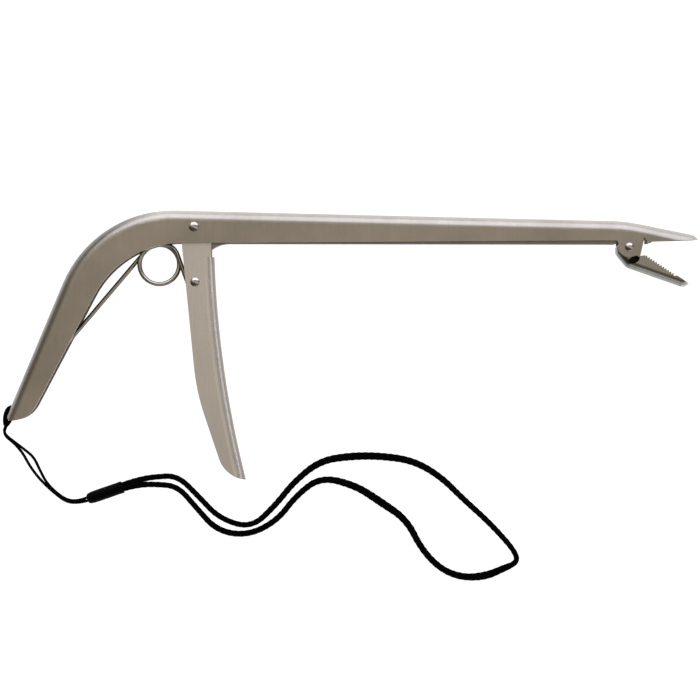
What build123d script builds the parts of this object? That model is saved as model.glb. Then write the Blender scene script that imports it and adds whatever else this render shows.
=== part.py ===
"""Pistol-grip hook remover with a wrist lanyard, lying on its side.

Millimetres. +X runs along the barrel towards the nose, +Y from the trigger's end up to the barrel,
+Z up from the surface that the tool lies on. The origin is under the middle of the metal tool.
Squeezing the trigger pulls the link back inside the barrel, and the link closes the toothed jaw.
"""

from build123d import *
import os
from math import asin, cos, degrees, radians, sin, sqrt, tan

# Stamped body: a U-channel, closed along its back and top.
BODY_WIDTH = 11.0
BODY_SHEET = 1.1
BODY_ROUND = 4.2
GRIP_ANGLE = 67.2
BACK_CORNER = (-104.9, 55.2)  # where the grip's back and the barrel's top would meet
NOSE_CORNER = (110.5, 50.0)  # where the barrel's top and the nose's top would meet
NOSE_SLOPE = 11.3
NOSE_TIP_X = 140.7
NOSE_TIP_HALF = 4.5
NOSE_TAPER_X = 117.0
BACK_BEND = 48.5
NOSE_BEND = 60.0
HEEL = (-141.2, -31.1)  # where the grip's back and its end would meet
HEEL_ROUND = 2.0
LANYARD_HOLE_R = 2.0
LANYARD_HOLE_UP = 7.9  # from the heel, along the grip's back

# Trigger, jaw and link.
TRIGGER_WIDTH = 8.4
TRIGGER_SHEET = 1.0
TRIGGER_ROUND = 4.0
TRIGGER_HEAD_R = 3.3
EAR_FOOT_Y = 35.4  # above it the trigger is two flat ears
JAW_WIDTH = 8.0
JAW_SHEET = 1.0
JAW_ROUND = 3.1
JAW_ANGLE = -33.4  # direction of the tooth line as the open jaw stands
LINK_WIDTH = 5.8
LINK_SHEET = 1.0
LINK_ROUND = 1.2
TOOTH_PITCH = 1.165
TOOTH_COUNT = 12
TOOTH_HEIGHT = 0.8
LINK_INNER_ROUND = 0.3

# Pivots and motion.
TRIGGER_PIVOT = (-64.3, 47.63)
SPRING_ANCHOR = (-63.89, 25.33)
JAW_PIVOT = (111.77, 39.47)
JAW_TRAVEL = 35.5  # degrees, from open to closed
JAW_CRANK = 5.0
TRIGGER_CRANK = 8.2
LINK_TRAVEL = 2 * JAW_CRANK * sin(radians(JAW_TRAVEL / 2))
TRIGGER_TRAVEL = 2 * degrees(asin(LINK_TRAVEL / (2 * TRIGGER_CRANK)))
RUNNING = 0.05  # radial clearance of a hinge
TRIGGER_SHANK_R = 1.25
ANCHOR_SHANK_R = 1.2
JAW_SHANK_R = 1.1
PIN_R = 1.0
EYE_R = PIN_R + 0.3  # the link's eyes leave room for the cranks' arcs
HEAD_HEIGHT = 0.8
TRIGGER_HEAD_DIA = 3.9
ANCHOR_HEAD_DIA = 3.7
JAW_HEAD_DIA = 3.5

# Return spring.
COIL = (-78.56, 32.52)
COIL_R = 8.0
WIRE = 1.75

# Lanyard.
THIN_CORD = 1.2
WRIST_CORD = 2.0
SLEEVE_DIA = 5.0
CRIMP_DIA = 3.4
CRIMP_BORE = 2.4
CRIMP_LENGTH = 13.0

MID_Z = BODY_WIDTH / 2 + HEAD_HEIGHT  # the tool's middle plane, above the surface
FAR = 90.0


def polar(angle, length=1.0):
    return (length * cos(radians(angle)), length * sin(radians(angle)))


def step(point, angle, length):
    dx, dy = polar(angle, length)
    return (point[0] + dx, point[1] + dy)


def shifted(points, distance):
    """The open polyline, moved by distance to the right of its direction, mitred at its corners."""
    headings = [(Vector(*b) - Vector(*a)).normalized() for a, b in zip(points, points[1:])]
    sides = [Vector(h.Y, -h.X) for h in headings]
    sides = [sides[0], *sides, sides[-1]]
    moved = []
    for point, before, after in zip(points, sides, sides[1:]):
        middle = (before + after).normalized()
        reach = distance / middle.dot(after)
        moved.append((point[0] + middle.X * reach, point[1] + middle.Y * reach))
    return moved


def outline_face(points, radii):
    """A closed outline whose corners are rounded by radii, one for each point."""
    return make_face(FilletPolyline(*points, radius=radii, close=True))


def prism(face, width):
    return extrude(face, width / 2, both=True)


def drilled(point, radius, width=4 * BODY_WIDTH):
    return Pos(point[0], point[1], 0) * Cylinder(radius, width)


def blank(back, radii, closing, width, rounding, plan=None):
    """A solid behind a back line, with the two long edges of its back rounded."""
    line = FilletPolyline(*back, radius=radii) if radii else Line(*back)
    rest = Polyline(back[-1], *closing, back[0])
    solid = prism(make_face(line.edges() + rest.edges()), width)
    if plan is not None:
        solid = solid & plan
    long_edges = []
    for edge in solid.edges():
        middle = edge @ 0.5
        across = abs((edge % 0.5).Z) > 0.99 and edge.length > width / 2
        near = line.distance_to(Vertex(middle.X, middle.Y, 0))
        if near < 1e-3 and not across:
            long_edges.append(edge)
    return fillet(long_edges, rounding)


def channel(back, radii, closing, width, sheet, rounding, plans=(None, None)):
    """A pressed channel: its back follows a line that has the material on its right."""
    inner_back = shifted(back, sheet)
    inner_radii = [radius - sheet for radius in radii]
    outer = blank(back, radii, closing, width, rounding, plans[0])
    inner = blank(
        inner_back, inner_radii, closing, width - 2 * sheet, rounding - sheet, plans[1]
    )
    return outer - inner


def rivet(point, shank_r, head_dia, grip, head_height=HEAD_HEIGHT):
    """A shank with two low domed heads, one against each outer wall."""
    head_r, rim = head_dia / 2, 0.25
    dome = head_height - rim
    ball = (head_r**2 + dome**2) / (2 * dome)
    half = grip / 2
    bend = half + head_height - ball + sqrt(ball**2 - (head_r / 2) ** 2)
    side = Line((0, half + head_height), (0, -half - head_height))
    low = ThreePointArc((0, -half - head_height), (head_r / 2, -bend), (head_r, -half - rim))
    shank = Polyline(
        (head_r, -half - rim),
        (head_r, -half),
        (shank_r, -half),
        (shank_r, half),
        (head_r, half),
        (head_r, half + rim),
    )
    top = ThreePointArc((head_r, half + rim), (head_r / 2, bend), (0, half + head_height))
    profile = make_face(side.edges() + low.edges() + shank.edges() + top.edges())
    turned = revolve(Plane.XZ * profile, Axis.Z)
    return Pos(point[0], point[1], 0) * turned


def nose_plan(sheet):
    """The nose seen from above: it narrows from the barrel's width to a round tip."""
    half, tip_half = BODY_WIDTH / 2 - sheet, NOSE_TIP_HALF - sheet
    tip_x = NOSE_TIP_X - sheet
    points = [
        (-FAR * 2, -half),
        (NOSE_TAPER_X, -half),
        (tip_x, -tip_half),
        (tip_x, tip_half),
        (NOSE_TAPER_X, half),
        (-FAR * 2, half),
    ]
    tip_round = tip_half - 0.1
    face = outline_face(points, [0, 60, tip_round, tip_round, 60, 0])
    return extrude(Plane.XZ * face, 2 * FAR, both=True)


def make_body():
    back = [
        step(BACK_CORNER, 180 + GRIP_ANGLE, 130),
        BACK_CORNER,
        NOSE_CORNER,
        step(NOSE_CORNER, -NOSE_SLOPE, 50),
    ]
    closing = [(NOSE_CORNER[0] + 50, -FAR), (-FAR, -FAR)]
    shell = channel(
        back,
        [BACK_BEND, NOSE_BEND],
        closing,
        BODY_WIDTH,
        BODY_SHEET,
        BODY_ROUND,
        (nose_plan(0), nose_plan(BODY_SHEET)),
    )
    # The pressing's open edge, from the grip's end to the nose, with the ear that holds the jaw.
    edge = [
        ((-150.0, -31.85), 0),
        ((-130.9, -30.2), 11.5),
        ((-93.5, 40.9), 40.0),
        ((107.3, 42.1), 1.2),
        ((107.5, 37.5), 2.0),
        ((110.0, 35.45), 2.0),
        ((113.9, 35.45), 2.0),
        ((117.3, 43.1), 0.3),
        ((118.1, 43.3), 0.3),
        ((119.0, 42.3), 0.3),
        ((118.8, 40.95), 0.4),
        ((120.3, 40.95), 0.4),
        ((121.3, 41.95), 0.8),
        ((152.0, 42.75), 0),
        ((152.0, 80.0), 0),
        ((-150.0, 80.0), 0),
    ]
    side = outline_face([point for point, _ in edge], [radius for _, radius in edge])
    body = shell & prism(side, 2 * BODY_WIDTH)
    # The heel's corner is rounded off.
    end_angle = 4.9
    reach = HEEL_ROUND / tan(radians((GRIP_ANGLE - end_angle) / 2))
    on_back = step(HEEL, GRIP_ANGLE, reach)
    on_end = step(HEEL, end_angle, reach)
    beyond = step(HEEL, GRIP_ANGLE + 180, 2)
    corner = make_face(Polyline(on_back, beyond, on_end, on_back))
    centre = step(on_back, GRIP_ANGLE - 90, HEEL_ROUND)
    body -= prism(corner - Pos(*centre) * Circle(HEEL_ROUND), 2 * BODY_WIDTH)
    # The lanyard's hole through the grip's back.
    hole = step(HEEL, GRIP_ANGLE, LANYARD_HOLE_UP)
    drill = Plane(origin=(*hole, 0), z_dir=(*polar(GRIP_ANGLE + 90), 0))
    body -= drill * Cylinder(LANYARD_HOLE_R, 5)
    body -= drilled(TRIGGER_PIVOT, TRIGGER_SHANK_R)
    body -= drilled(JAW_PIVOT, JAW_SHANK_R)
    return body


REAR_PIN = step(TRIGGER_PIVOT, -90 + TRIGGER_TRAVEL / 2, TRIGGER_CRANK)
FRONT_PIN = step(JAW_PIVOT, 90 - JAW_TRAVEL / 2, JAW_CRANK)


def pin(point, radius, length):
    return Pos(point[0], point[1], 0) * Cylinder(radius, length)


def make_trigger():
    front = [(-56.83, 60.0), (-55.07, -7.05), (-39.7, -70.0)]
    shell = channel(
        front,
        [421.0],
        [(-FAR, -70.0), (-FAR, 60.0)],
        TRIGGER_WIDTH,
        TRIGGER_SHEET,
        TRIGGER_ROUND,
    )
    # Seen from the side: the open rear edge, the rounded foot, and the two ears above the front's end.
    edge = [
        ((-68.2, 48.8), 0),
        ((-69.25, 41.0), 0),
        ((-63.3, -19.0), 88.0),
        ((-51.9, -53.0), 12.5),
        ((-38.0, -56.0), 0),
        ((-38.0, EAR_FOOT_Y), 0),
        ((-57.3, EAR_FOOT_Y), 0),
        ((-57.3, 42.0), 3.0),
        ((-61.4, 49.3), 0),
    ]
    side = outline_face([point for point, _ in edge], [radius for _, radius in edge])
    side += Pos(*TRIGGER_PIVOT) * Circle(TRIGGER_HEAD_R)
    above = Pos(TRIGGER_PIVOT[0], EAR_FOOT_Y + FAR / 2) * Rectangle(FAR, FAR)
    ears = prism(side & above, TRIGGER_WIDTH)
    ears -= prism(above, TRIGGER_WIDTH - 2 * TRIGGER_SHEET)
    trigger = (shell & prism(side - above, 2 * TRIGGER_WIDTH)) + ears
    trigger -= drilled(TRIGGER_PIVOT, TRIGGER_SHANK_R + RUNNING)
    trigger -= drilled(REAR_PIN, PIN_R)
    trigger -= drilled(SPRING_ANCHOR, ANCHOR_SHANK_R)
    return trigger


def jaw_plan(sheet):
    """The jaw seen along its biting edge's normal: it narrows a little to a round tip."""
    half, tip_half, tip_x = JAW_WIDTH / 2 - sheet, 3.3 - sheet, 28.7 - sheet
    points = [(-40, -half), (8, -half), (tip_x, -tip_half), (tip_x, tip_half), (8, half), (-40, half)]
    tip_round = tip_half - 0.1
    face = outline_face(points, [0, 60, tip_round, tip_round, 60, 0])
    return extrude(Plane.XZ * face, FAR, both=True)


def make_jaw():
    """Drawn with its pivot at the origin and its tooth line along X, then turned to its open place."""
    spine_angle = 90 - JAW_ANGLE
    knee, heel = (3.86, -7.24), (-2.79, -5.16)
    back = [step(knee, 14, 32), knee, heel, step(heel, spine_angle, 30)]
    shell = channel(
        back,
        [4.0, 2.6],
        [(-19.3, 45.0), (34.9, 45.0)],
        JAW_WIDTH,
        JAW_SHEET,
        JAW_ROUND,
        (jaw_plan(0), jaw_plan(JAW_SHEET)),
    )
    teeth = []
    first = 7.6
    for tooth in range(TOOTH_COUNT):
        start = first + tooth * TOOTH_PITCH
        teeth += [(start, 0.3), (start + 0.25 * TOOTH_PITCH, 0.3 + TOOTH_HEIGHT)]
        teeth += [(start + 0.5 * TOOTH_PITCH, 0.3 + TOOTH_HEIGHT)]
    teeth.append((first + TOOTH_COUNT * TOOTH_PITCH, 0.3))
    outline = [
        (-14.0, -16.0),
        (34.0, -16.0),
        (34.0, 1.2),
        (22.6, 1.2),
        *reversed(teeth),
        (7.3, 0.9),
        (5.8, -0.5),
        (3.3, 6.1),
        (0.6, 7.0),
        (-3.5, 3.2),
        (-3.9, -2.8),
        (-9.2, -6.3),
    ]
    front_pin = step((0, 0), 90 - JAW_TRAVEL / 2 - JAW_ANGLE, JAW_CRANK)
    side = make_face(Polyline(*outline, outline[0])) + Pos(*front_pin) * Circle(2 * PIN_R)
    jaw = shell & prism(side, 2 * JAW_WIDTH)
    window = Pos(4.5, -3.2) * Rot(0, 0, 58) * Ellipse(2.5, 1.4)
    jaw -= Pos(0, 0, JAW_WIDTH / 2) * prism(window, JAW_WIDTH / 2)  # in the upper wall only
    jaw -= drilled((0, 0), JAW_SHANK_R + RUNNING)
    jaw -= drilled(front_pin, PIN_R)
    return Pos(*JAW_PIVOT) * Rot(0, 0, JAW_ANGLE) * jaw


def make_link():
    top = [(-90.0, 45.2), (140.0, 47.1)]
    half = LINK_WIDTH / 2
    closing = [(140.0, 20.0), (-90.0, 20.0)]
    outer = blank(top, [], closing, LINK_WIDTH, LINK_ROUND)
    inner_top = shifted(top, LINK_SHEET)
    inner = blank(inner_top, [], closing, LINK_WIDTH - 2 * LINK_SHEET, LINK_INNER_ROUND)
    rear, low = REAR_PIN[0] - 4.6, REAR_PIN[1] - 4.6
    front = FRONT_PIN[0] + 2.5
    edge = [
        ((rear, 50.0), 0),
        ((rear, low), 4.5),
        ((-60.9, low), 4.6),
        ((-55.1, 40.85), 12.0),
        ((106.3, 40.62), 0.6),
        ((107.6, 41.75), 0.6),
        ((front, 41.75), half - 0.6),
        ((front, 50.0), 0),
    ]
    side = outline_face([point for point, _ in edge], [radius for _, radius in edge])
    link = (outer - inner) & prism(side, 2 * LINK_WIDTH)
    # Each eye lies half-way up the arc that its crank pin makes.
    rear_rise = -TRIGGER_CRANK * (1 - cos(radians(TRIGGER_TRAVEL / 2))) / 2
    front_rise = JAW_CRANK * (1 - cos(radians(JAW_TRAVEL / 2))) / 2
    link -= drilled((REAR_PIN[0], REAR_PIN[1] + rear_rise), EYE_R)
    link -= drilled((FRONT_PIN[0], FRONT_PIN[1] + front_rise), EYE_R)
    return link


def tube(points, radii, diameter):
    """A round tube along straight runs joined by tangent arcs, flat at both ends."""
    path = FilletPolyline(*points, radius=radii)
    section = Plane(origin=path @ 0, z_dir=path % 0) * Circle(diameter / 2)
    return sweep(section, path=path)


def make_spring():
    """Three close turns. One leg rests inside the grip, and the other hooks round the anchor rivet."""
    pitch = 0.97 * WIRE
    slope = 49.65
    leave = step(COIL, 90 + slope, COIL_R)
    bend = step(leave, 180 + slope, 53.0)
    foot = step(bend, GRIP_ANGLE + 90, 7.9)
    grip_leg = tube([(*leave, -pitch), (*bend, -pitch), (*foot, -pitch)], [2.5], WIRE)
    hook = [(-72.5, COIL[1] + COIL_R), (-65.96, 22.0), (-61.2, 22.3), (-60.9, 25.6)]
    top = (COIL[0], COIL[1] + COIL_R)
    hook_leg = tube([(x, y, pitch) for x, y in [top, *hook]], [8.0, 2.0, 1.6], WIRE)
    spring = grip_leg + hook_leg
    for turn in (-1, 0, 1):
        spring += Pos(*COIL, turn * pitch) * Torus(COIL_R, WIRE / 2)
    return spring


# The cords' routes, each height measured from the surface that the tool lies on.
WRIST_ROUTE = [
    (-94.1, -57.34, 3.6),
    (-90.5, -56.1, 2.9),
    (-86.3, -54.95, 1.3),
    (-81.0, -54.0, 1.05),
    (-71.5, -53.5, 1.05),
    (-63.0, -62.0, 1.05),
    (-54.5, -71.0, 1.05),
    (-41.5, -75.0, 1.05),
    (-31.5, -65.5, 1.05),
    (-24.0, -56.0, 1.05),
    (-13.5, -47.5, 1.05),
    (-1.0, -45.5, 1.05),
    (12.0, -45.5, 1.05),
    (25.0, -47.5, 1.05),
    (36.0, -54.0, 1.05),
    (45.0, -63.0, 1.05),
    (55.0, -72.0, 1.1),
    (62.0, -79.5, 1.2),
    (65.5, -83.8, 1.3),
    (67.2, -87.4, 1.3),
    (65.8, -89.6, 1.3),
    (61.5, -91.4, 1.2),
    (54.5, -94.5, 1.1),
    (45.0, -95.2, 1.05),
    (36.0, -91.8, 1.05),
    (28.0, -83.5, 1.05),
    (22.0, -71.5, 1.05),
    (11.0, -64.0, 1.05),
    (1.0, -57.5, 1.05),
    (-13.0, -54.0, 1.05),
    (-23.0, -61.5, 1.05),
    (-31.0, -72.0, 1.05),
    (-43.0, -78.0, 1.05),
    (-55.5, -76.0, 1.05),
    (-64.0, -66.5, 1.05),
    (-71.5, -57.8, 1.05),
    (-81.0, -57.0, 1.05),
    (-88.0, -57.3, 1.1),
    (-93.6, -58.76, 1.3),
]
UPPER_ROUTE = [
    (-108.41, -62.39, 2.5),
    (-111.3, -63.4, 2.4),
    (-116.4, -63.4, 2.0),
    (-121.4, -60.1, 1.9),
    (-125.3, -56.0, 1.5),
    (-127.8, -51.2, 0.9),
    (-130.2, -46.0, 1.2),
    (-134.0, -42.0, 2.6),
    (-138.0, -38.7, 4.6),
    (-141.4, -35.2, 6.4),
    (-139.8, -32.3, 7.0),
    (-138.2, -29.1, 7.0),
    (-136.3, -24.4, 7.0),
    (-138.75, -23.35, 7.0),
    (-140.2, -26.7, 7.1),
    (-141.1, -28.9, 7.7),
    (-141.1, -28.9, 6.3),
]
LOWER_ROUTE = [
    (-107.99, -63.6, 2.5),
    (-111.0, -64.7, 2.1),
    (-116.6, -64.6, 0.8),
    (-121.2, -61.2, 0.65),
    (-125.4, -57.5, 0.65),
    (-129.2, -53.4, 0.65),
    (-132.4, -48.8, 0.7),
    (-135.2, -44.2, 1.4),
    (-138.4, -39.9, 3.4),
    (-142.0, -36.0, 4.9),
    (-140.1, -32.6, 5.6),
    (-138.2, -29.1, 5.6),
    (-136.3, -24.4, 5.6),
    (-138.75, -23.35, 5.6),
    (-140.2, -26.7, 5.5),
    (-141.1, -28.9, 4.9),
    (-141.1, -28.9, 6.3),
]
SLEEVE_ENDS = [(-108.2, -63.0, SLEEVE_DIA / 2), (-94.0, -58.1, SLEEVE_DIA / 2)]


def make_cord(name, route, diameter):
    """A cord's tube. Each bend is as large as its two runs allow."""
    points = [Vector(*point) for point in route]
    radii = []
    for before, here, after in zip(points, points[1:], points[2:]):
        arriving, leaving = here - before, after - here
        half_turn = radians(arriving.get_angle(leaving)) / 2
        radii.append(0.45 * min(arriving.length, leaving.length) / tan(half_turn))
    cord = tube(route, radii, diameter)
    length = FilletPolyline(*route, radius=radii).length
    full = length * Circle(diameter / 2).area
    print(f"{name}: {length:.1f} mm long, volume {cord.volume:.1f} of {full:.1f}, tightest radii",
          [round(radius, 1) for radius in sorted(radii)[:5]])
    return cord


def sleeve_part(outer_dia, bore_dia, length):
    start, end = (Vector(*point) for point in SLEEVE_ENDS)
    middle = Plane(origin=(start + end) / 2, z_dir=(end - start).normalized())
    barrel = Cylinder(outer_dia / 2, length)
    if outer_dia == SLEEVE_DIA:
        barrel = fillet(barrel.edges().sort_by(Axis.Z)[0], 0.7)
    return middle * (barrel - Cylinder(bore_dia / 2, length))


SLEEVE_LENGTH = (Vector(*SLEEVE_ENDS[1]) - Vector(*SLEEVE_ENDS[0])).length
tool = {
    "body_channel": make_body(),
    "trigger": make_trigger(),
    "lower_jaw": make_jaw(),
    "pull_link": make_link(),
    "return_spring": make_spring(),
    "trigger_pivot_rivet": rivet(TRIGGER_PIVOT, TRIGGER_SHANK_R, TRIGGER_HEAD_DIA, BODY_WIDTH),
    "spring_anchor_rivet": rivet(SPRING_ANCHOR, ANCHOR_SHANK_R, ANCHOR_HEAD_DIA, TRIGGER_WIDTH),
    "jaw_pivot_rivet": rivet(JAW_PIVOT, JAW_SHANK_R, JAW_HEAD_DIA, BODY_WIDTH),
    "link_rear_pin": pin(REAR_PIN, PIN_R, TRIGGER_WIDTH),
    "link_front_pin": pin(FRONT_PIN, PIN_R, JAW_WIDTH),
}
tool = {name: Pos(0, 0, MID_Z) * solid for name, solid in tool.items()}
lanyard = {
    "hitch_strand_upper": make_cord("hitch_strand_upper", UPPER_ROUTE, THIN_CORD),
    "hitch_strand_lower": make_cord("hitch_strand_lower", LOWER_ROUTE, THIN_CORD),
    "cord_sleeve": sleeve_part(SLEEVE_DIA, CRIMP_DIA, SLEEVE_LENGTH),
    "cord_crimp": sleeve_part(CRIMP_DIA, CRIMP_BORE, CRIMP_LENGTH),
    "wrist_cord": make_cord("wrist_cord", WRIST_ROUTE, WRIST_CORD),
}

os.makedirs("parts", exist_ok=True)
for name, solid in {**tool, **lanyard}.items():
    export_step(solid, f"parts/{name}.step")
print(f"trigger {TRIGGER_TRAVEL:.3f} deg, link {LINK_TRAVEL:.4f} mm, jaw {JAW_TRAVEL} deg")
print("rear pin", REAR_PIN, "front pin", FRONT_PIN)
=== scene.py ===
"""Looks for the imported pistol-grip hook remover: materials, spring wire, lanyard, lights, camera."""

from collections import namedtuple
import math

import bpy
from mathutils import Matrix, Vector


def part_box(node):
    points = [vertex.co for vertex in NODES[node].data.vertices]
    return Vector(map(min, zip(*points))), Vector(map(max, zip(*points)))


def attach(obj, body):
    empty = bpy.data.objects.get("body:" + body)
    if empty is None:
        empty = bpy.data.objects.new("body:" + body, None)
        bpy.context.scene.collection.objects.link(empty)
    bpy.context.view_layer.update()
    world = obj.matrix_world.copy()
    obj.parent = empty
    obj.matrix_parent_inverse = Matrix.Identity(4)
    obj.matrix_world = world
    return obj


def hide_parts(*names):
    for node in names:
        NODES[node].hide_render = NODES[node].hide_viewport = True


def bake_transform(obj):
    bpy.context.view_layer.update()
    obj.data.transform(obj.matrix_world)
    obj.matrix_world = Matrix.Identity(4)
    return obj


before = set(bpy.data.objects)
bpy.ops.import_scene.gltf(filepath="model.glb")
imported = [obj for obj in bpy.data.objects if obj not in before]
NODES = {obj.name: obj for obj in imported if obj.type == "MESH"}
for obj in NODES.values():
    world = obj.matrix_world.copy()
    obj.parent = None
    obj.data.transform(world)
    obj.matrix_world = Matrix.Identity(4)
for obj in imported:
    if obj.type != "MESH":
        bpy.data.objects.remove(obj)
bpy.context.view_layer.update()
SCENE = bpy.context.scene
MM = 0.001
UP = Vector((0, 0, 1))
WHITE = (1, 1, 1, 1)

# The tool lies on its side, with its middle plane at this height.
MID_Z = sum(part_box("body_channel")[i].z for i in (0, 1)) / 2


# ---------------------------------------------------------------- camera
SHOT_WIDTH = 0.2828  # what the picture spans at the near face of the body
SHOT_HEIGHT = 1.0  # from that face up to the camera
SHOT_CENTRE = (-0.00115, -0.00222)
SENSOR_WIDTH = 36.0


def make_camera():
    """A long lens that looks straight down on the tool's side."""
    data = bpy.data.cameras.new("camera")
    camera = bpy.data.objects.new("camera", data)
    SCENE.collection.objects.link(camera)
    near_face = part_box("body_channel")[1].z
    camera.location = (*SHOT_CENTRE, near_face + SHOT_HEIGHT)
    camera.rotation_euler = (0, 0, 0)
    data.sensor_width = SENSOR_WIDTH
    data.lens = SENSOR_WIDTH * SHOT_HEIGHT / SHOT_WIDTH
    data.clip_start = 0.05
    data.clip_end = 20.0
    SCENE.camera = camera


# ---------------------------------------------------------------- node helpers
def scaled(colour, factor):
    """A colour made darker or lighter by a factor."""
    return (*(factor * c for c in colour[:3]), 1)


def plug(tree, socket, value):
    """Links another node's output to a socket, or sets the socket to a plain value."""
    if isinstance(value, bpy.types.NodeSocket):
        tree.links.new(value, socket)
    else:
        socket.default_value = value


def add_node(tree, kind, values=None, **settings):
    node = tree.nodes.new(kind)
    for key, value in settings.items():
        setattr(node, key, value)
    for key, value in (values or {}).items():
        plug(tree, node.inputs[key], value)
    return node


class Nodes:
    """A material under construction."""

    def __init__(self, name):
        self.material = bpy.data.materials.new(name)
        self.material.use_nodes = True
        self.tree = self.material.node_tree
        self.shader = self.tree.nodes["Principled BSDF"]
        self.place = self.add("ShaderNodeTexCoord").outputs["Object"]

    def add(self, kind, values=None, **settings):
        return add_node(self.tree, kind, values, **settings)

    def feed(self, **values):
        """Gives the shader's sockets their values or links."""
        for key, value in values.items():
            plug(self.tree, self.shader.inputs[key.replace("_", " ")], value)

    def part(self, kind, axis):
        """One axis of the piece's own coordinates or of its surface normal."""
        source = self.add("ShaderNodeTexCoord").outputs[kind]
        return self.add("ShaderNodeSeparateXYZ", {"Vector": source}).outputs[axis]

    def noise(self, vector, scale, detail, roughness=0.5):
        values = {"Vector": vector, "Scale": scale, "Detail": detail, "Roughness": roughness}
        return self.add("ShaderNodeTexNoise", values).outputs["Fac"]

    def ramp(self, value, low, high, out_low=0.0, out_high=1.0):
        """A value's place between low and high, as a value between out_low and out_high."""
        ends = {"From Min": low, "From Max": high, "To Min": out_low, "To Max": out_high}
        return self.add("ShaderNodeMapRange", {"Value": value, **ends}).outputs["Result"]

    def calc(self, operation, *values):
        return self.add("ShaderNodeMath", dict(enumerate(values)), operation=operation).outputs[0]

    def mix(self, factor, a, b, blend="MIX"):
        node = self.add("ShaderNodeMix", data_type="RGBA", blend_type=blend)
        for key, value in (("Factor", factor), ("A", a), ("B", b)):
            socket = next(s for s in node.inputs if s.name == key and s.enabled)
            plug(self.tree, socket, value)
        return next(s for s in node.outputs if s.enabled)

    def times(self, tone, shade):
        return self.mix(1.0, tone, shade, "MULTIPLY")

    def dimmed(self, tone, level):
        """A colour times one level, the same for its red, green and blue."""
        grey = self.add("ShaderNodeCombineColor", {"Red": level, "Green": level, "Blue": level})
        return self.times(tone, grey.outputs["Color"])

    def bump(self, height, distance, strength):
        values = {"Height": height, "Distance": distance, "Strength": strength}
        return self.add("ShaderNodeBump", values).outputs["Normal"]


# ---------------------------------------------------------------- floor, world, lights
FLOOR_HALF = 4.0

# (place, brightness) along the slant X + 2 Y of the direction that is looked in.
WORLD_SLANT = 2.0
WORLD_LEVELS = [
    (-1, 0.06),
    (-0.55, 0.10),
    (-0.3, 0.30),
    (-0.1, 0.43),
    (0, 0.48),
    (0.12, 0.68),
    (0.35, 0.54),
    (0.6, 0.3),
    (1, 0.16),
]
WORLD_TINT = (1, 0.855, 0.66)

# name: (place, target, width, height, watts, colour)
LIGHTS = {
    "softbox_far": ((0.15, 1.02, 0.68), (0.05, 0, 0), 2.2, 1.28, 14.2, (0.893, 0.905, 1.0)),
    "strip_nose": ((1.0, -0.1, 0.25), (0, 0, 0), 1.2, 0.10, 0.66, (1.0, 0.96, 0.94)),
    "softbox_near": ((0.2, -1.0, 0.45), (0, 0, 0), 2.0, 0.5, 2.6, (0.97, 0.98, 1.0)),
}


def make_floor():
    """A pale floor that glows, so that it stays white round the tool."""
    corners = [(-1, -1), (1, -1), (1, 1), (-1, 1)]
    mesh = bpy.data.meshes.new("floor")
    mesh.from_pydata([(x * FLOOR_HALF, y * FLOOR_HALF, 0) for x, y in corners], [], [(0, 1, 2, 3)])
    floor = bpy.data.objects.new("floor", mesh)
    SCENE.collection.objects.link(floor)
    m = Nodes("pale_floor")
    m.feed(Base_Color=(0.3, 0.3, 0.3, 1), Roughness=0.9, Specular_IOR_Level=0.1)
    m.feed(Emission_Color=WHITE, Emission_Strength=1.0)
    mesh.materials.append(m.material)


def make_world():
    """A dim warm studio, brightest overhead, darker on the grip's side and past the nose."""
    world = bpy.data.worlds.new("studio")
    SCENE.world = world
    world.use_nodes = True
    tree = world.node_tree
    direction = add_node(tree, "ShaderNodeTexCoord").outputs["Generated"]
    axes = add_node(tree, "ShaderNodeSeparateXYZ", {"Vector": direction}).outputs
    terms = {0: axes["Y"], 1: WORLD_SLANT, 2: axes["X"]}
    slant = add_node(tree, "ShaderNodeMath", terms, operation="MULTIPLY_ADD").outputs[0]
    share = add_node(tree, "ShaderNodeMapRange", {"Value": slant, "From Min": -1.0})
    ramp = add_node(tree, "ShaderNodeValToRGB", {"Fac": share.outputs["Result"]})
    tree.links.new(ramp.outputs["Color"], tree.nodes["Background"].inputs["Color"])
    elements = ramp.color_ramp.elements
    while len(elements) < len(WORLD_LEVELS):
        elements.new(0.5)
    for element, (slant_at, level) in zip(elements, WORLD_LEVELS):
        element.position = (slant_at + 1) / 2
        element.color = scaled(WORLD_TINT, level)


def make_lights():
    for name, (place, target, width, height, watts, colour) in LIGHTS.items():
        data = bpy.data.lights.new(name, "AREA")
        data.shape = "RECTANGLE"
        data.size = width
        data.size_y = height
        data.energy = watts
        data.color = colour
        light = bpy.data.objects.new(name, data)
        SCENE.collection.objects.link(light)
        light.location = place
        beam = Vector(target) - Vector(place)
        light.rotation_euler = beam.to_track_quat("-Z", "Y").to_euler()
        light.visible_camera = False


# ---------------------------------------------------------------- satin steel
SPECK = (0.06, 0.05, 0.045, 1)
# painted shade for the trigger's flanks
FLANK_SHADE_TINT = (0.33, 0.285, 0.26, 1)
# painted shade inside the jaw's hollow
HOLLOW_SHADE = (0.02, 0.02, 0.018, 1)
BRUSHED = (1, 0.035, 0.3)  # how fine the grain is across, along and through the brushing


def painted_flank_shade(m, tone):
    """Painted shade: the pressing's flanks are darker and warmer than its flat face."""
    flat = m.ramp(m.part("Normal", "Z"), 0.6, 0.79)
    return m.times(tone, m.mix(flat, FLANK_SHADE_TINT, WHITE))


def painted_back_shade(m, tone):
    """Painted shade: the surface is darker where it turns away from the nose, but less so on the back
    itself.
    """
    facing = m.part("Normal", "X")
    turned = m.ramp(facing, -0.34, -0.1, 0.5, 1.0)
    on_back = m.ramp(facing, -0.86, -0.72, 0.22, 0.0)
    return m.dimmed(tone, m.calc("ADD", turned, on_back))


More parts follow.
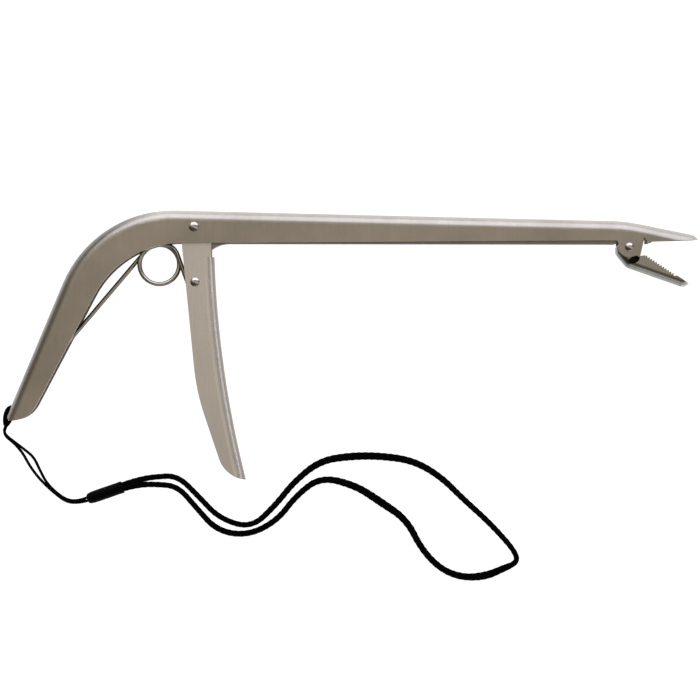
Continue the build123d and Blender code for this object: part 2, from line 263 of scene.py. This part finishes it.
def painted_hollow_shade(m, tone):
    """Painted shade inside the hollow, on the wall that lies below."""
    facing = m.ramp(m.part("Normal", "Z"), 0.2, 0.5)
    deep = m.ramp(m.part("Object", "Z"), MID_Z - 0.5 * MM, MID_Z + 1.0 * MM, 1.0, 0.0)
    return m.mix(m.calc("MULTIPLY", facing, deep), tone, HOLLOW_SHADE)


def specked(m, tone):
    """Rare dark specks in the finish."""
    cells = m.add("ShaderNodeTexVoronoi", {"Vector": m.place, "Scale": 95.0, "Randomness": 1.0})
    near = m.ramp(cells.outputs["Distance"], 0.02, 0.065, 1.0, 0.0)
    rare = m.ramp(m.noise(m.place, scale=30, detail=1.0), 0.62, 0.66)
    return m.mix(m.calc("MULTIPLY", near, rare), tone, SPECK)


def satin_steel(name, light, dark, roughness, angle, shading=()):
    """Pressed stainless steel: fine brushing across the pressing, faint blotches and specks.

    The brushing is turned by an angle in degrees. shading holds functions that paint shade into the
    tone.
    """
    m = Nodes(name)
    values = {"Vector": m.place, "Scale": BRUSHED, "Rotation": (0, 0, math.radians(-angle))}
    brushed = m.add("ShaderNodeMapping", values).outputs["Vector"]
    fine = m.noise(brushed, scale=5200, detail=2.0, roughness=0.6)
    broad = m.noise(brushed, scale=1300, detail=3.0, roughness=0.6)
    blotch = m.noise(m.place, scale=34, detail=4.0, roughness=0.6)
    speckle = m.noise(m.place, scale=900, detail=3.0, roughness=0.7)
    tone = m.mix(m.ramp(blotch, 0.3, 0.7), dark, light)
    tone = m.dimmed(tone, m.ramp(broad, 0.3, 0.7, 0.965, 1.02))
    for shade in (specked, *shading):
        tone = shade(m, tone)
    rough = m.ramp(speckle, 0.3, 0.7, roughness - 0.04, roughness + 0.05)
    m.feed(Base_Color=tone, Metallic=1.0, Roughness=rough)
    m.feed(Normal=m.bump(m.calc("ADD", fine, speckle), distance=0.02 * MM, strength=0.5))
    return m.material


# ---------------------------------------------------------------- polished metal
# painted shade on the spring wire
WIRE_SHADE = (0.01, 0.01, 0.01, 1)
CLOUD = 0.86  # how bright the cloud is, as a share of the metal


def painted_rim_shade(m, tone):
    """A domed head gets painted shade round its rim."""
    return m.dimmed(tone, m.ramp(m.part("Normal", "Z"), 0.84, 0.93, 0.35, 1.0))


def painted_wire_shade(m, tone):
    """Painted shade on the wire: its flanks, the leg's side to the grip and the hook's front."""
    facing_x = m.part("Normal", "X")
    place_x = m.part("Object", "X")
    bright = m.ramp(m.part("Normal", "Z"), 0.58, 0.86, 0.07, 1.0)
    on_leg = m.ramp(place_x, -90.5 * MM, -88.0 * MM, 1.0, 0.0)
    on_hook = m.ramp(place_x, -74.5 * MM, -71.5 * MM)
    to_grip = m.ramp(m.calc("MULTIPLY_ADD", facing_x, -1.0, m.part("Normal", "Y")), 0.0, 0.5)
    front = m.ramp(facing_x, 0.0, 0.5, 0.0, 0.9)
    leg_shade = m.calc("MULTIPLY", on_leg, to_grip)
    hook_shade = m.calc("MULTIPLY", on_hook, front)
    darkening = m.calc("MAXIMUM", leg_shade, hook_shade)
    keep = m.ramp(darkening, 0.0, 1.0, 1.0, 0.03)
    return m.mix(m.calc("MULTIPLY", bright, keep), WIRE_SHADE, tone)


def polished(name, colour, roughness, shading=()):
    """Polished metal with a faint cloud in it. shading holds functions that paint shade into the tone.
    """
    m = Nodes(name)
    cloud = m.noise(m.place, scale=900, detail=3.0, roughness=0.6)
    tone = m.mix(m.ramp(cloud, 0.35, 0.65), scaled(colour, CLOUD), colour)
    for shade in shading:
        tone = shade(m, tone)
    m.feed(Base_Color=tone, Metallic=1.0)
    m.feed(Roughness=m.ramp(cloud, 0.3, 0.7, roughness * 0.8, roughness * 1.3))
    m.feed(Normal=m.bump(cloud, distance=0.01 * MM, strength=0.4))
    return m.material


# ---------------------------------------------------------------- cord and sleeve materials
FUZZ = 2.4  # how much lighter the fuzz is than the cord


def cord_material(name, colour):
    """Black braid: fibres, a little fuzz and a trace of sheen."""
    m = Nodes(name)
    fibre = m.noise(m.place, scale=6500, detail=2.0, roughness=0.6)
    fuzz = m.noise(m.place, scale=700, detail=3.0, roughness=0.6)
    tone = m.mix(m.ramp(fuzz, 0.35, 0.75, 0.0, 0.7), colour, scaled(colour, FUZZ))
    m.feed(Base_Color=tone, Roughness=m.ramp(fibre, 0.2, 0.8, 0.62, 0.85))
    m.feed(Sheen_Weight=0.005, Sheen_Roughness=0.5, Specular_IOR_Level=0.03)
    m.feed(Normal=m.bump(fibre, distance=0.05 * MM, strength=0.6))
    return m.material


def sleeve_material():
    """Moulded black plastic with a fine grain."""
    m = Nodes("black_sleeve")
    grain = m.noise(m.place, scale=2600, detail=3.0, roughness=0.6)
    patch = m.noise(m.place, scale=220, detail=2.0)
    tone = m.mix(patch, (0.0016, 0.0016, 0.0016, 1), (0.003, 0.003, 0.0032, 1))
    m.feed(Base_Color=tone, Roughness=m.ramp(grain, 0.3, 0.7, 0.42, 0.6), Specular_IOR_Level=0.035)
    m.feed(Normal=m.bump(grain, distance=0.04 * MM, strength=0.5))
    return m.material


# ---------------------------------------------------------------- mesh helpers
def paint(node, material):
    materials = NODES[node].data.materials
    materials.clear()
    materials.append(material)


def spoke(side, up, turn):
    """The direction at an angle from side towards up."""
    return side * math.cos(turn) + up * math.sin(turn)


def directions(line):
    """The line's direction at each of its points."""
    last = len(line) - 1
    return [(line[min(last, i + 1)] - line[max(0, i - 1)]).normalized() for i in range(last + 1)]


def ringed_piece(name, verts, around, material):
    """A smooth closed piece from rings of points: quads between them and a cap at each end."""
    last = len(verts) - around
    faces = []
    for a in range(0, last, around):
        b = a + around
        for j in range(around):
            k = (j + 1) % around
            faces.append((a + j, a + k, b + k, b + j))
    faces.append(tuple(range(around - 1, -1, -1)))
    faces.append(tuple(range(last, last + around)))
    mesh = bpy.data.meshes.new(name)
    mesh.from_pydata(verts, [], faces)
    mesh.materials.append(material)
    mesh.polygons.foreach_set("use_smooth", [True] * len(mesh.polygons))
    mesh.update()
    piece = bpy.data.objects.new(name, mesh)
    SCENE.collection.objects.link(piece)
    return piece


def lathe(name, start, end, profile, around, material):
    """A turned piece between two points. profile holds (distance from start, radius)."""
    axis = (end - start).normalized()
    side = axis.cross(UP).normalized()
    up = axis.cross(side)
    verts = []
    for distance, radius in profile:
        for j in range(around):
            rim = spoke(side, up, 2 * math.pi * j / around)
            verts.append(start + axis * distance + rim * radius)
    return ringed_piece(name, verts, around, material)


# ---------------------------------------------------------------- cords
# Points round a ring, strands, metres along the cord from plait to plait, and the gaps' depth as a
# share of the radius.
Braid = namedtuple("Braid", "around plaits pitch relief")

WRIST_BRAID = Braid(around=28, plaits=6, pitch=0.0026, relief=0.16)
THIN_BRAID = Braid(around=16, plaits=4, pitch=0.0013, relief=0.1)
OVAL_POWER = 0.8  # under 1, so the oval is a little squarer than an ellipse
LEVELLING = 0.15  # how much of its way to level the braid turns at each ring
STEEP = 0.3  # a run whose level share is under this has no level side of its own


def cord_line(name, route):
    """The route's smooth line: points in metres, read from its NURBS spline."""
    curve = bpy.data.curves.new(name + "_line", "CURVE")
    curve.dimensions = "3D"
    curve.resolution_u = 48
    spline = curve.splines.new("NURBS")
    spline.points.add(len(route) - 1)
    for point, (x, y, z) in zip(spline.points, route):
        point.co = (x * MM, y * MM, z * MM, 1)
    spline.order_u = 3
    spline.use_endpoint_u = True
    guide = bpy.data.objects.new(name + "_line", curve)
    SCENE.collection.objects.link(guide)
    bpy.context.view_layer.update()
    line = bpy.data.meshes.new_from_object(guide)
    points = [v.co.copy() for v in line.vertices]
    bpy.data.objects.remove(guide)
    bpy.data.curves.remove(curve)
    bpy.data.meshes.remove(line)
    return points


def spaced(points, step):
    """The same line with its points at equal distances, and each point's share of the way."""
    along = [0.0]
    for a, b in zip(points, points[1:]):
        along.append(along[-1] + (b - a).length)
    count = max(2, round(along[-1] / step))
    result, shares, run = [], [], 0
    for i in range(count + 1):
        want = along[-1] * i / count
        while run < len(points) - 2 and along[run + 1] < want:
            run += 1
        span = along[run + 1] - along[run]
        mix = (want - along[run]) / span if span else 0.0
        result.append(points[run].lerp(points[run + 1], min(1.0, mix)))
        shares.append((run + mix) / (len(points) - 1))
    return result, shares


def blended(values, share):
    """A value between the neighbours that a share of the way falls between."""
    place = max(0.0, min(len(values) - 1.0, share * (len(values) - 2) + 0.5))
    low = min(int(place), len(values) - 2)
    mix = place - low
    mix = mix * mix * (3 - 2 * mix)
    return values[low] * (1 - mix) + values[low + 1] * mix


def strand_height(braid, u, travelled):
    """A braid's height from 0 to 1, at a share u of the way round and a distance along it."""
    one = 2 * math.pi * (braid.plaits * u + travelled / braid.pitch)
    two = 2 * math.pi * (braid.plaits * u - travelled / braid.pitch)
    over = 0.5 + 0.5 * math.sin((one + two) / 2) * math.cos((one - two) / 2)
    return over * abs(math.cos(one / 2)) + (1 - over) * abs(math.cos(two / 2))


def oval_ring(braid, side, up, width, thickness, travelled):
    """One ring of a braid round its middle line, raised where strands cross over each other."""
    ring = []
    for j in range(braid.around):
        u = j / braid.around
        c, s = math.cos(2 * math.pi * u), math.sin(2 * math.pi * u)
        c = math.copysign(abs(c) ** OVAL_POWER, c)
        s = math.copysign(abs(s) ** OVAL_POWER, s)
        scale = 1 - braid.relief * (1 - strand_height(braid, u, travelled))
        ring.append(side * (c * width / 2 * scale) + up * (s * thickness / 2 * scale))
    return ring


def braided_tube(name, line, shares, sections, braid, material):
    """A braid's surface along a line. sections holds (width, thickness) at each route point."""
    widths, thicknesses = zip(*sections)
    verts, travelled, side = [], 0.0, None
    for i, (here, ahead) in enumerate(zip(line, directions(line))):
        level = UP.cross(ahead)
        if side is None or level.length > STEEP:
            level.normalize()
        else:
            level = side
        side = level if side is None else side * (1 - LEVELLING) + level * LEVELLING
        side = (side - ahead * side.dot(ahead)).normalized()
        if i:
            travelled += (here - line[i - 1]).length
        width, thickness = blended(widths, shares[i]), blended(thicknesses, shares[i])
        ring = oval_ring(braid, side, ahead.cross(side), width, thickness, travelled)
        verts += [here + point for point in ring]
    return ringed_piece(name, verts, braid.around, material)


# ---------------------------------------------------------------- lanyard
# The cords' routes in millimetres, close to the solids' own, with the flat braid's
# (width, thickness) at each of the wrist cord's points.
WRIST_ROUTE = [
    ((-94.1, -57.34, 3.6), (2.6, 2.0)),
    ((-90.5, -56.1, 2.9), (2.6, 1.9)),
    ((-86.3, -54.95, 1.3), (2.5, 1.8)),
    ((-81.0, -54.0, 1.05), (2.4, 1.8)),
    ((-71.5, -53.5, 1.05), (2.4, 1.8)),
    ((-63.0, -62.0, 1.05), (2.4, 1.8)),
    ((-54.5, -71.0, 1.05), (2.4, 1.8)),
    ((-41.5, -75.0, 1.05), (2.4, 1.8)),
    ((-31.5, -65.5, 1.05), (2.6, 1.8)),
    ((-24.0, -56.0, 1.05), (2.7, 1.8)),
    ((-13.5, -47.5, 1.05), (3.0, 1.8)),
    ((-1.0, -45.5, 1.05), (3.3, 1.8)),
    ((12.0, -45.5, 1.05), (3.2, 1.8)),
    ((25.0, -47.5, 1.05), (3.0, 1.8)),
    ((36.0, -54.0, 1.05), (2.8, 1.8)),
    ((45.0, -63.0, 1.05), (2.6, 1.9)),
    ((55.0, -72.0, 1.1), (2.5, 2.0)),
    ((62.0, -79.5, 1.2), (2.4, 2.2)),
    ((65.5, -83.8, 1.3), (2.3, 2.4)),
    ((67.2, -87.4, 1.3), (2.3, 2.4)),
    ((65.8, -89.6, 1.3), (2.4, 2.4)),
    ((61.5, -91.4, 1.2), (3.0, 2.0)),
    ((54.5, -94.5, 1.1), (3.4, 1.8)),
    ((45.0, -95.2, 1.05), (3.0, 1.8)),
    ((36.0, -91.8, 1.05), (2.8, 1.8)),
    ((28.0, -83.5, 1.05), (2.8, 1.8)),
    ((22.0, -71.5, 1.05), (3.0, 1.8)),
    ((11.0, -64.0, 1.05), (3.4, 1.8)),
    ((1.0, -57.5, 1.05), (3.2, 1.8)),
    ((-13.0, -54.0, 1.05), (2.8, 1.8)),
    ((-23.0, -61.5, 1.05), (2.6, 1.8)),
    ((-31.0, -72.0, 1.05), (2.6, 1.8)),
    ((-43.0, -78.0, 1.05), (2.6, 1.8)),
    ((-55.5, -76.0, 1.05), (2.6, 1.8)),
    ((-64.0, -66.5, 1.05), (2.4, 1.8)),
    ((-71.5, -57.8, 1.05), (2.4, 1.8)),
    ((-81.0, -57.0, 1.05), (2.4, 1.8)),
    ((-88.0, -57.3, 1.1), (2.5, 1.8)),
    ((-93.6, -58.76, 1.3), (2.6, 2.0)),
]
UPPER_ROUTE = [
    (-108.41, -62.39, 2.5),
    (-111.3, -63.6, 2.6),
    (-116.4, -63.6, 2.0),
    (-121.4, -60.1, 1.9),
    (-125.3, -56.0, 1.5),
    (-127.8, -51.2, 0.9),
    (-130.2, -46.0, 1.2),
    (-133.7, -42.9, 2.6),
    (-138.0, -39.4, 4.8),
    (-141.7, -36.2, 6.4),
    (-141.3, -33.5, 7.0),
    (-139.7, -31.9, 7.1),
    (-138.2, -29.3, 7.0),
    (-136.5, -25.9, 7.0),
    (-138.6, -24.8, 7.0),
    (-140.2, -26.4, 7.2),
    (-141.1, -29.2, 7.5),
    (-141.05, -31.9, 7.4),
    (-140.95, -33.3, 7.0),
]
LOWER_ROUTE = [
    (-107.99, -63.6, 2.5),
    (-111.0, -64.5, 1.9),
    (-116.6, -64.5, 0.8),
    (-121.2, -61.2, 0.65),
    (-125.4, -57.5, 0.65),
    (-129.2, -53.4, 0.65),
    (-132.4, -48.8, 0.7),
    (-134.7, -44.3, 1.4),
    (-137.8, -40.3, 3.4),
    (-141.9, -36.8, 4.9),
    (-141.3, -33.6, 5.5),
    (-139.7, -32.0, 5.6),
    (-138.2, -29.3, 5.6),
    (-136.5, -25.9, 5.6),
    (-138.6, -24.8, 5.6),
    (-140.2, -26.4, 5.4),
    (-141.1, -29.2, 5.1),
    (-141.05, -31.9, 5.2),
    (-140.95, -33.3, 5.6),
]
WRIST_STEP = 0.00022
THIN_DIA = 0.0012
LOOP_STEP = 0.00015

# Outside the grip's back, the hitch bunches the thin cord up.
BUNCHED = 1.6
HITCH_MAX_X = -139.9
HITCH_MIN_Y = -33

SLEEVE_ENDS = (Vector((-108.2, -63.0, 2.5)) * MM, Vector((-94.0, -58.1, 2.5)) * MM)
SLEEVE_AROUND = 48
SLEEVE_PROFILE_LENGTH = 15.02  # between the ends, as the profile is drawn
# (distance, radius) in millimetres.
SLEEVE_PROFILE = [
    (0.0, 0.0),
    (0.0, 0.9),
    (0.02, 1.35),
    (0.25, 1.8),
    (0.7, 2.1),
    (1.5, 2.3),
    (2.6, 2.42),
    (4.5, 2.46),
    (9.0, 2.46),
    (12.5, 2.44),
    (13.3, 2.42),
    (13.6, 2.46),
    (14.1, 2.5),
    (14.8, 2.5),
    (15.1, 2.42),
    (15.25, 2.2),
    (15.2, 1.7),
    (15.0, 0.0),
]


def make_sleeve():
    """The moulded sleeve that joins the thin loop to the wrist cord."""
    start, end = SLEEVE_ENDS
    stretch = (end - start).length / SLEEVE_PROFILE_LENGTH
    profile = [(distance * stretch, radius * MM) for distance, radius in SLEEVE_PROFILE]
    sleeve = lathe("lanyard_sleeve", start, end, profile, SLEEVE_AROUND, sleeve_material())
    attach(sleeve, "frame")
    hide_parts("cord_sleeve")
    return sleeve


def make_wrist_cord():
    """The flat braid, one loop with both ends in the sleeve."""
    braid = cord_material("black_braid", (0.0011, 0.0011, 0.0012, 1))
    route = [point for point, _ in WRIST_ROUTE]
    sections = [(width * MM, thickness * MM) for _, (width, thickness) in WRIST_ROUTE]
    line, shares = spaced(cord_line("wrist_braid", route), WRIST_STEP)
    wrist = braided_tube("wrist_braid", line, shares, sections, WRIST_BRAID, braid)
    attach(wrist, "frame")
    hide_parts("wrist_cord")


def make_hitch_loop():
    """The thin cord, out to the grip, through its hole and back, with both ends in the sleeve."""
    thin = cord_material("black_thin_cord", (0.001, 0.001, 0.0011, 1))
    route = UPPER_ROUTE + LOWER_ROUTE[::-1]
    sections = []
    for x, y, _ in route:
        size = THIN_DIA * (BUNCHED if x < HITCH_MAX_X and y > HITCH_MIN_Y else 1)
        sections.append((size, size))
    line, shares = spaced(cord_line("hitch_loop", route), LOOP_STEP)
    loop = braided_tube("hitch_loop", line, shares, sections, THIN_BRAID, thin)
    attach(loop, "frame")
    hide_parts("hitch_strand_upper", "hitch_strand_lower")


# ---------------------------------------------------------------- return spring, in millimetres
WIRE_R = 0.875
WIRE_AROUND = 16
COIL_X = -78.56
COIL_Y = 32.52
COIL_R = 8.0
COIL_RISE = 1.875  # half of what the turns add up to across the tool
COIL_STEPS = 150
LEG_ANGLE = 49.65
LEG_LENGTH = 53.0
FOOT_ANGLE = 157.2
FOOT_LENGTH = 7.9
FOOT_CORNER = 2.0
COIL_TURN = 720 + LEG_ANGLE
HOOK = [
    (COIL_X, COIL_Y + COIL_R),
    (-72.5, COIL_Y + COIL_R),
    (-65.96, 22.0),
    (-61.2, 22.3),
    (-60.9, 25.6),
]
HOOK_CORNERS = [4.6, 1.5, 1.3]
LONGEST_STEP = 0.6
BEND_STEPS = 7


def at(x, y, z):
    """A point in metres from millimetres, with its height counted from the middle plane."""
    return Vector((x * MM, y * MM, MID_Z + z * MM))


def heading(degrees):
    turn = math.radians(degrees)
    return Vector((math.cos(turn), math.sin(turn)))


def on_coil(turn, rise):
    return at(COIL_X + COIL_R * math.cos(turn), COIL_Y + COIL_R * math.sin(turn), rise)


def rounded(points, corners):
    """Straight runs with each inner corner turned into a short arc-like bend."""
    result = [points[0]]
    for before, here, after, size in zip(points, points[1:], points[2:], corners):
        a = here + (before - here).normalized() * (size * MM)
        b = here + (after - here).normalized() * (size * MM)
        for i in range(BEND_STEPS + 1):
            t = i / BEND_STEPS
            result.append(a * (1 - t) ** 2 + here * 2 * t * (1 - t) + b * t**2)
    return result + [points[-1]]


def finer(points, step):
    """The same line with more points on its long runs, so that it bends smoothly."""
    line = [points[0]]
    for a, b in zip(points, points[1:]):
        parts = max(1, round((b - a).length / step))
        line += [a.lerp(b, k / parts) for k in range(1, parts + 1)]
    return line


def wire_line():
    """The wire's middle: foot and leg in the grip, turns, and the hook round the anchor rivet."""
    leaving = math.radians(90 + LEG_ANGLE)
    leave = Vector((COIL_X + COIL_R * math.cos(leaving), COIL_Y + COIL_R * math.sin(leaving)))
    bend = leave - heading(LEG_ANGLE) * LEG_LENGTH
    foot = bend + heading(FOOT_ANGLE) * FOOT_LENGTH
    line = rounded([at(*point, -COIL_RISE) for point in (foot, bend, leave)], [FOOT_CORNER])
    for i in range(1, COIL_STEPS):
        share = i / COIL_STEPS
        turn = leaving - math.radians(COIL_TURN) * share
        line.append(on_coil(turn, -COIL_RISE + 2 * COIL_RISE * share))
    line += rounded([at(x, y, COIL_RISE) for x, y in HOOK], HOOK_CORNERS)
    return finer(line, LONGEST_STEP * MM)


def make_spring(material):
    """One wire wound as a real coil, between the grip and the trigger."""
    line = wire_line()
    verts, side = [], None
    for here, ahead in zip(line, directions(line)):
        side = ahead.cross(UP) if side is None else side
        side = (side - ahead * side.dot(ahead)).normalized()
        up = ahead.cross(side)
        for j in range(WIRE_AROUND):
            rim = spoke(side, up, 2 * math.pi * j / WIRE_AROUND)
            verts.append(here + rim * (WIRE_R * MM))
    spring = ringed_piece("return_spring_wire", verts, WIRE_AROUND, material)
    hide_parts("return_spring")
    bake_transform(spring)


# ---------------------------------------------------------------- the scene
SCENE.view_settings.view_transform = "Standard"
make_camera()
make_floor()
make_world()
make_lights()

BODY = satin_steel(
    "body_satin_steel",
    light=(0.575, 0.545, 0.50, 1),
    dark=(0.44, 0.42, 0.385, 1),
    roughness=0.33,
    angle=0,
    # painted shade where the surface turns away from the nose
    shading=[painted_back_shade],
)
TRIGGER = satin_steel(
    "trigger_satin_steel",
    light=(0.93, 0.935, 0.955, 1),
    dark=(0.87, 0.875, 0.89, 1),
    roughness=0.31,
    angle=90,
    # painted shade on the flanks
    shading=[painted_flank_shade],
)
JAW = satin_steel(
    "jaw_satin_steel",
    light=(0.54, 0.53, 0.51, 1),
    dark=(0.44, 0.43, 0.40, 1),
    roughness=0.3,
    angle=30,
    # painted shade on the back and inside the hollow
    shading=[painted_back_shade, painted_hollow_shade],
)
LINK = satin_steel(
    "link_satin_steel",
    light=(0.40, 0.385, 0.36, 1),
    dark=(0.34, 0.325, 0.30, 1),
    roughness=0.34,
    angle=0,
)
# the rivets and the spring wire get painted shade
RIVET = polished("polished_rivet", (0.80, 0.78, 0.76, 1), 0.16, [painted_rim_shade])
WIRE = polished("spring_wire", (0.66, 0.63, 0.58, 1), 0.2, [painted_wire_shade])
CRIMP = polished("crimp_metal", (0.75, 0.74, 0.72, 1), 0.3)

for node, material in (
    ("body_channel", BODY),
    ("trigger", TRIGGER),
    ("lower_jaw", JAW),
    ("pull_link", LINK),
    ("trigger_pivot_rivet", RIVET),
    ("spring_anchor_rivet", RIVET),
    ("jaw_pivot_rivet", RIVET),
    ("link_rear_pin", TRIGGER),
    ("link_front_pin", JAW),
    ("cord_crimp", CRIMP),
):
    paint(node, material)

# Even shading over the trigger's bent edges and flats.
even = NODES["trigger"].modifiers.new("even_normals", "WEIGHTED_NORMAL")
even.keep_sharp = True
even.weight = 80

make_spring(WIRE)
lanyard_sleeve = make_sleeve()
make_wrist_cord()
make_hitch_loop()
